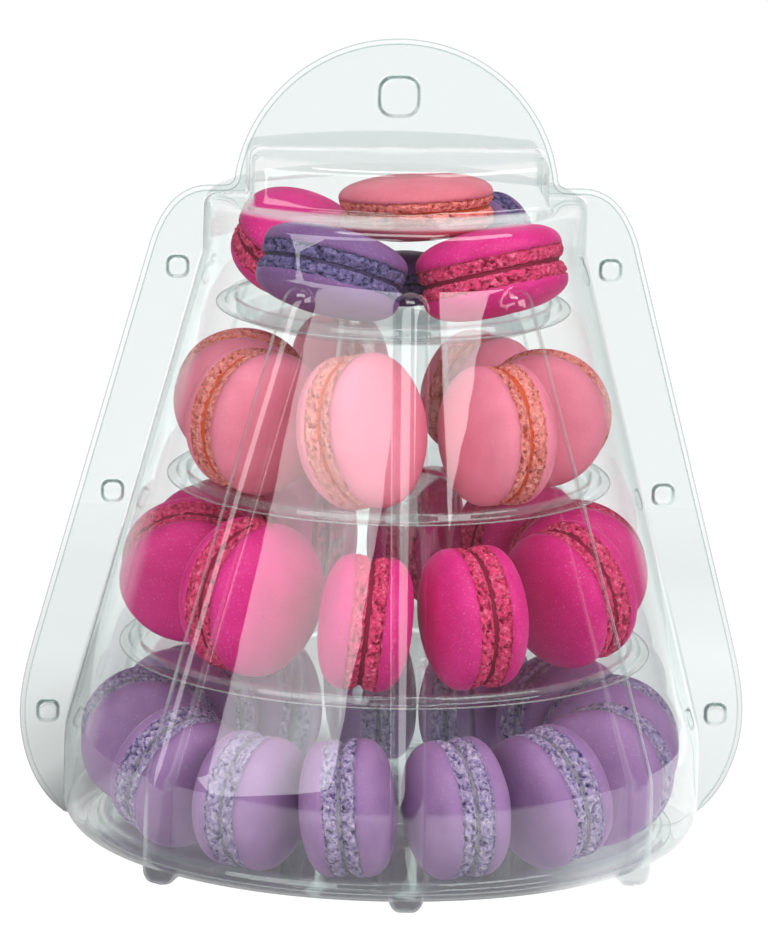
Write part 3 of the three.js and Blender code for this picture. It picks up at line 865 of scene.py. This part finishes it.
def case_half(name, half, materials):
    """One pressed half, worked out for the front and turned over for the back."""
    plate_y = -(SPLIT_GAP + CASE_SHEET)
    fold_turns = np.radians(FOLD_TURNS)
    points = []
    table = []
    rows = shell_rows()
    for shell, direction in rows:
        left = []
        right = []
        for edge, sign, store in ((shell[0], -1, left), (shell[-1], 1, right)):
            for turn in fold_turns[1:]:
                out = FOLD_RADIUS * (1 - math.cos(turn))
                y = plate_y - FOLD_RADIUS * (1 - math.sin(turn))
                if direction is None:
                    out = 0
                    y = plate_y - FOLD_RADIUS + (FOLD_RADIUS + CASE_SHEET) * turn / fold_turns[-1]
                    direction_here = (0, 0)
                else:
                    direction_here = direction
                x = edge[0] + sign * direction_here[0] * out
                store.append((x, y, edge[2] + direction_here[1] * out))
        line = np.vstack([left[::-1], shell, right])
        first = len(points)
        points.extend(line.tolist())
        table.append(list(range(first, first + len(line))))
    fold = len(fold_turns) - 1
    for row in (table[0], table[-1]):
        for k in range(len(row)):
            if fold <= k < len(row) - fold:
                row[k] = row[fold]
        for k in range(fold):
            row[len(row) - 1 - k] = row[k]
    faces = []
    for upper, lower in zip(table, table[1:]):
        for k in range(len(upper) - 1):
            corners = (upper[k], lower[k], lower[k + 1], upper[k + 1])
            face = tuple(dict.fromkeys(corners))
            if len(face) > 2:
                faces.append(face)
    marks = [FACE] * len(faces)
    flanged = sum(1 for shell, direction in rows if direction is not None)
    right_edge = [table[row][-1] for row in range(flanged)]
    left_edge = [table[row][0] for row in range(flanged)]

    outer = drawn_in(flange_outline(), half["trim"])
    inner = drawn_in(outer, CUT_BAND)
    first = len(points)
    points.extend((x, plate_y, z) for x, z in outer)
    second = len(points)
    points.extend((x, plate_y, z) for x, z in inner)
    last = len(outer) - 1
    faces.append((first, first + 1, second + 1))
    for k in range(1, last - 1):
        faces.append((first + k, first + k + 1, second + k + 1, second + k))
    faces.append((first + last - 1, first + last, second + last - 1))
    marks += [CUT + FLAT] * last
    border = [first, *range(second + 1, second + last), first + last]
    loops = [border + left_edge[::-1] + right_edge[1:]]
    studs = [(0, HANDLE_STUD_Z), *FLANGE_STUDS, *((-x, z) for x, z in FLANGE_STUDS)]
    for place in studs:
        size = (HANDLE_STUD_SIZE if place[0] == 0 else STUD_SIZE) - half["stud_trim"]
        rings = []
        for inset, share in STUD_STEPS:
            first = len(points)
            ring = stud_outline(place, size, inset)
            points.extend((x, plate_y - half["stud_rise"] * share, z) for x, z in ring)
            rings.append(list(range(first, first + len(ring))))
        loops.append(rings[0])
        for step, (low, high) in enumerate(zip(rings, rings[1:])):
            for k in range(len(low)):
                after = (k + 1) % len(low)
                faces.append((low[k], low[after], high[after], high[k]))
            marks += [STEEP if step in STUD_WALL_STEPS else FACE] * len(low)
        faces.append(tuple(rings[-1]))
        marks.append(FACE)
    flat = [index for loop in loops for index in loop]
    outlines = [[Vector((points[i][0], points[i][2], 0)) for i in loop] for loop in loops]
    for corners in tessellate_polygon(outlines):
        a, b, c = (flat[k] for k in corners)
        p, q, r = (np.array(points[i]) for i in (a, b, c))
        turn = (q[0] - p[0]) * (r[2] - p[2]) - (q[2] - p[2]) * (r[0] - p[0])
        if abs(turn) > LEAST_TURN:
            faces.append((a, b, c) if turn > 0 else (a, c, b))
            marks.append(FACE + FLAT)
    if half["side"] > 0:
        points = [(x, -y, z) for x, y, z in points]
        faces = [face[::-1] for face in faces]
    return sheet_piece(name, points, faces, marks, materials, CASE_SHEET)


case_face = clear_sheet(
    "clear_case", face_tint=(0.973, 0.988, 0.985, 1), edge_tint=(0.22, 0.28, 0.27, 1),
    edge_power=9.0, milk_share=0.0, gloss_face=0.038, gloss_edge=1.0,
)
case_cut = clear_sheet(
    "clear_case_cut", face_tint=(0.8, 0.85, 0.84, 1), edge_tint=(0.38, 0.44, 0.43, 1),
    edge_power=3.0, milk_share=0.025, gloss_face=0.06, gloss_edge=1.0,
)
stud_wall = clear_sheet(
    "clear_stud_wall", face_tint=(0.66, 0.72, 0.71, 1), edge_tint=(0.38, 0.44, 0.43, 1),
    edge_power=3.0, milk_share=0.025, gloss_face=0.06, gloss_edge=1.0,
)
for name, half in HALVES.items():
    piece = case_half(name + ".sheet", half, [case_face, case_cut, stud_wall])
    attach(piece, "root")
    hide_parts(name)


# Table, light and camera: a white table that glows softly. Seen straight on it is evenly white;
# where it is seen through the clear case its glow carries a painted shadow of the case, darker to
# the left, and so do its reflections and the light it throws back. It stands under soft boxes and
# before a white backdrop. The camera has a long lens.

FLOOR_HALF = 0.5
BACKDROP_LIGHT = 1.08
BACKDROP_START = 0.62
BACKDROP_RISE = 6.0
ROOM_LIGHT = 0.18
TABLE_GLOW = 1.2
TABLE_OPEN = 0.8
# Painted shadow of the case on the table: an oval under the tower and a darkening around it, stronger to
# the left.
SHADE_CENTRE = (-0.032, -0.05)
SHADE_REACH = (0.079, 0.17)
SHADE_FADE = 0.25
SHADED_LIGHT = 0.05
CASE_LIGHT = 0.66
CASE_DIMMED = 0.18
LEFT_DIMMED = 0.27
LEFT_START = 0.035
LEFT_FADE = 0.11
DIMMED_REACH = 0.38
RIM_LIFT = 0.08
RIM_WIDTH = 0.16
MIRRORED_FRONT = -0.25
MIRRORED_FADE = 0.14
SOFT_SHADED = 0.5
MIRRORED_LEFT = 0.65
MIRRORED_BACK = 0.03
AIM_HEIGHT = 0.12
CAMERA_AZIMUTH = math.radians(-4.976)
CAMERA_ELEVATION = math.radians(12.446)
CAMERA_ROLL = math.radians(1.530)
CAMERA_DISTANCE = 2.9057
CAMERA_TARGET = Vector((-0.00166, 0.000145, 0.12483))
CAMERA_LENS = 328.58
SENSOR = 36.0

floor_mesh = bpy.data.meshes.new("table")
floor_corners = [(x, y, 0) for y in (-FLOOR_HALF, FLOOR_HALF) for x in (-FLOOR_HALF, FLOOR_HALF)]
floor_mesh.from_pydata(floor_corners, [], [(0, 1, 3, 2)])
floor = bpy.data.objects.new("table", floor_mesh)
bpy.context.scene.collection.objects.link(floor)
table_top, wire, end = new_material("table_top")
place = wire.node("TexCoord", {}, {}, "Object")
mottle = wire.node("TexNoise", {}, {"Vector": place, "Scale": 9.0}, "Fac")
paint = wire.node("Mix", {"data_type": "RGBA"}, {
    0: mottle, 6: (0.13, 0.13, 0.13, 1), 7: (0.15, 0.15, 0.15, 1),
}, 2)
across = wire.node("SeparateXYZ", {}, {"Vector": place}, "X")
depth = wire.node("SeparateXYZ", {}, {"Vector": place}, "Y")
# Painted shadow: the table's glow falls to SHADED_LIGHT inside an oval under and behind the tower.
off_across = (across - SHADE_CENTRE[0]) / SHADE_REACH[0]
off_depth = (depth - SHADE_CENTRE[1]) / SHADE_REACH[1]
from_shade = (off_across ** 2 + off_depth ** 2) ** 0.5
outside_painted_shadow = ((from_shade - 1) / SHADE_FADE).clamped()
# Painted shade around the tower, darker to the left.
left_part = ((LEFT_START - across) / LEFT_FADE).clamped()
from_middle = (across ** 2 + depth ** 2) ** 0.5
near_part = ((DIMMED_REACH - from_middle) / DIMMED_REACH).clamped()
far_front = ((MIRRORED_FRONT - depth) / MIRRORED_FADE).clamped()
looked_at = wire.node("LightPath", {}, {}, "Is Camera Ray")
mirrored = wire.node("LightPath", {}, {}, "Is Glossy Ray")
sheets = wire.node("LightPath", {}, {}, "Transparent Depth").clamped()
# The painted shade eases off towards the table's rim.
rim_part = ((from_middle - (FLOOR_HALF - RIM_WIDTH)) / RIM_WIDTH).clamped()
painted_shade_light = rim_part * RIM_LIFT + CASE_LIGHT - near_part * (left_part * LEFT_DIMMED + CASE_DIMMED)
through_case = painted_shade_light * (outside_painted_shadow * (1 - SHADED_LIGHT) + SHADED_LIGHT)
# Seen straight on the table is evenly white; seen through the clear sheets it shows the painted shadow.
seen_light = sheets * through_case + (1 - sheets) * TABLE_OPEN
soft_light = outside_painted_shadow * (1 - SOFT_SHADED) + SOFT_SHADED
# Its reflections are painted darker to the back left, and they and the light it throws back carry the
# painted shadow under the tower too.
back_left = left_part * (depth / MIRRORED_BACK).clamped()
mirrored_light = (1 - far_front) * (1 - back_left * MIRRORED_LEFT) * soft_light
bounced = 1 - looked_at - mirrored
lit = looked_at * seen_light + mirrored * mirrored_light + bounced * soft_light * TABLE_OPEN
glow = wire.node("Mix", {"data_type": "RGBA"}, {0: lit, 6: (0, 0, 0, 1), 7: (1, 1, 1, 1)}, 2)
top = wire.node("BsdfPrincipled", {}, {
    "Base Color": paint, "Roughness": 0.7, "Specular IOR Level": 0.2,
    "Emission Color": glow, "Emission Strength": TABLE_GLOW,
})
wire.tree.links.new(top.socket, end.inputs["Surface"])
floor_mesh.materials.append(table_top)

world = bpy.data.worlds.new("studio")
bpy.context.scene.world = world
world.use_nodes = True
world.node_tree.nodes.clear()
sky = Wire(world.node_tree)
way = sky.node("TexCoord", {}, {}, "Generated")
behind = sky.node("SeparateXYZ", {}, {"Vector": way}, "Y")
seen = sky.node("LightPath", {}, {}, "Is Camera Ray")
backdrop = sky.node("Background", {}, {"Color": (1, 1, 1, 1), "Strength": BACKDROP_LIGHT})
room = sky.node("Background", {}, {"Color": (1, 1, 1, 1), "Strength": ROOM_LIGHT})
white = ((behind - BACKDROP_START) * BACKDROP_RISE).clamped()
share = white.maths("MAXIMUM", white, seen)
both = sky.node("MixShader", {}, {0: share, 1: room, 2: backdrop})
world_end = world.node_tree.nodes.new("ShaderNodeOutputWorld")
world.node_tree.links.new(both.socket, world_end.inputs["Surface"])


def soft_box(name, azimuth, elevation, distance, width, height, roll, radiance):
    """A soft box aimed at the middle of the tower. Its azimuth runs from the front to the right,
    and its roll lifts its right end, seen from the tower."""
    turn = math.radians(azimuth)
    rise = math.radians(elevation)
    tip = math.radians(roll)
    way = Vector((math.sin(turn) * math.cos(rise), -math.cos(turn) * math.cos(rise), math.sin(rise)))
    level = Vector((math.cos(turn), math.sin(turn), 0))
    along = level * math.cos(tip) + way.cross(level) * math.sin(tip)
    across = way.cross(along)
    light = bpy.data.lights.new(name, "AREA")
    light.shape = "RECTANGLE"
    light.size = width
    light.size_y = height
    light.energy = radiance * math.pi * width * height
    lamp = bpy.data.objects.new(name, light)
    bpy.context.scene.collection.objects.link(lamp)
    place = way * distance + Vector((0, 0, AIM_HEIGHT))
    lamp.matrix_world = Matrix((
        (along.x, across.x, way.x, place.x),
        (along.y, across.y, way.y, place.y),
        (along.z, across.z, way.z, place.z),
        (0, 0, 0, 1),
    ))
    lamp.visible_camera = False
    return lamp


soft_box(
    "left_strip", azimuth=-37.4, elevation=14.5, distance=1.5, width=2.11, height=0.5, roll=26,
    radiance=3.2,
)
soft_box(
    "right_box", azimuth=46, elevation=31, distance=1.75, width=1.48, height=0.9, roll=0,
    radiance=4.2,
)
soft_box(
    "top_box", azimuth=-10, elevation=70, distance=1.8, width=1.4, height=0.6, roll=0,
    radiance=6.0,
)
front_fill = soft_box(
    "front_fill", azimuth=12, elevation=50, distance=1.8, width=1.2, height=0.8, roll=0,
    radiance=2.8,
)
front_fill.visible_glossy = False

camera_data = bpy.data.cameras.new("camera")
camera_data.sensor_fit = "VERTICAL"
camera_data.sensor_height = SENSOR
camera_data.sensor_width = SENSOR
camera_data.lens = CAMERA_LENS
camera_data.clip_end = 50
camera = bpy.data.objects.new("camera", camera_data)
bpy.context.scene.collection.objects.link(camera)
back = Vector((math.sin(CAMERA_AZIMUTH) * math.cos(CAMERA_ELEVATION),
               -math.cos(CAMERA_AZIMUTH) * math.cos(CAMERA_ELEVATION), math.sin(CAMERA_ELEVATION)))
level = Vector((math.cos(CAMERA_AZIMUTH), math.sin(CAMERA_AZIMUTH), 0))
upright = back.cross(level)
right = level * math.cos(CAMERA_ROLL) + upright * math.sin(CAMERA_ROLL)
up = upright * math.cos(CAMERA_ROLL) - level * math.sin(CAMERA_ROLL)
eye = CAMERA_TARGET + back * CAMERA_DISTANCE
camera.matrix_world = Matrix((
    (right.x, up.x, back.x, eye.x),
    (right.y, up.y, back.y, eye.y),
    (right.z, up.z, back.z, eye.z),
    (0, 0, 0, 1),
))
bpy.context.scene.camera = camera
bpy.context.scene.view_settings.view_transform = "Standard"
bpy.context.scene.cycles.transparent_max_bounces = 64
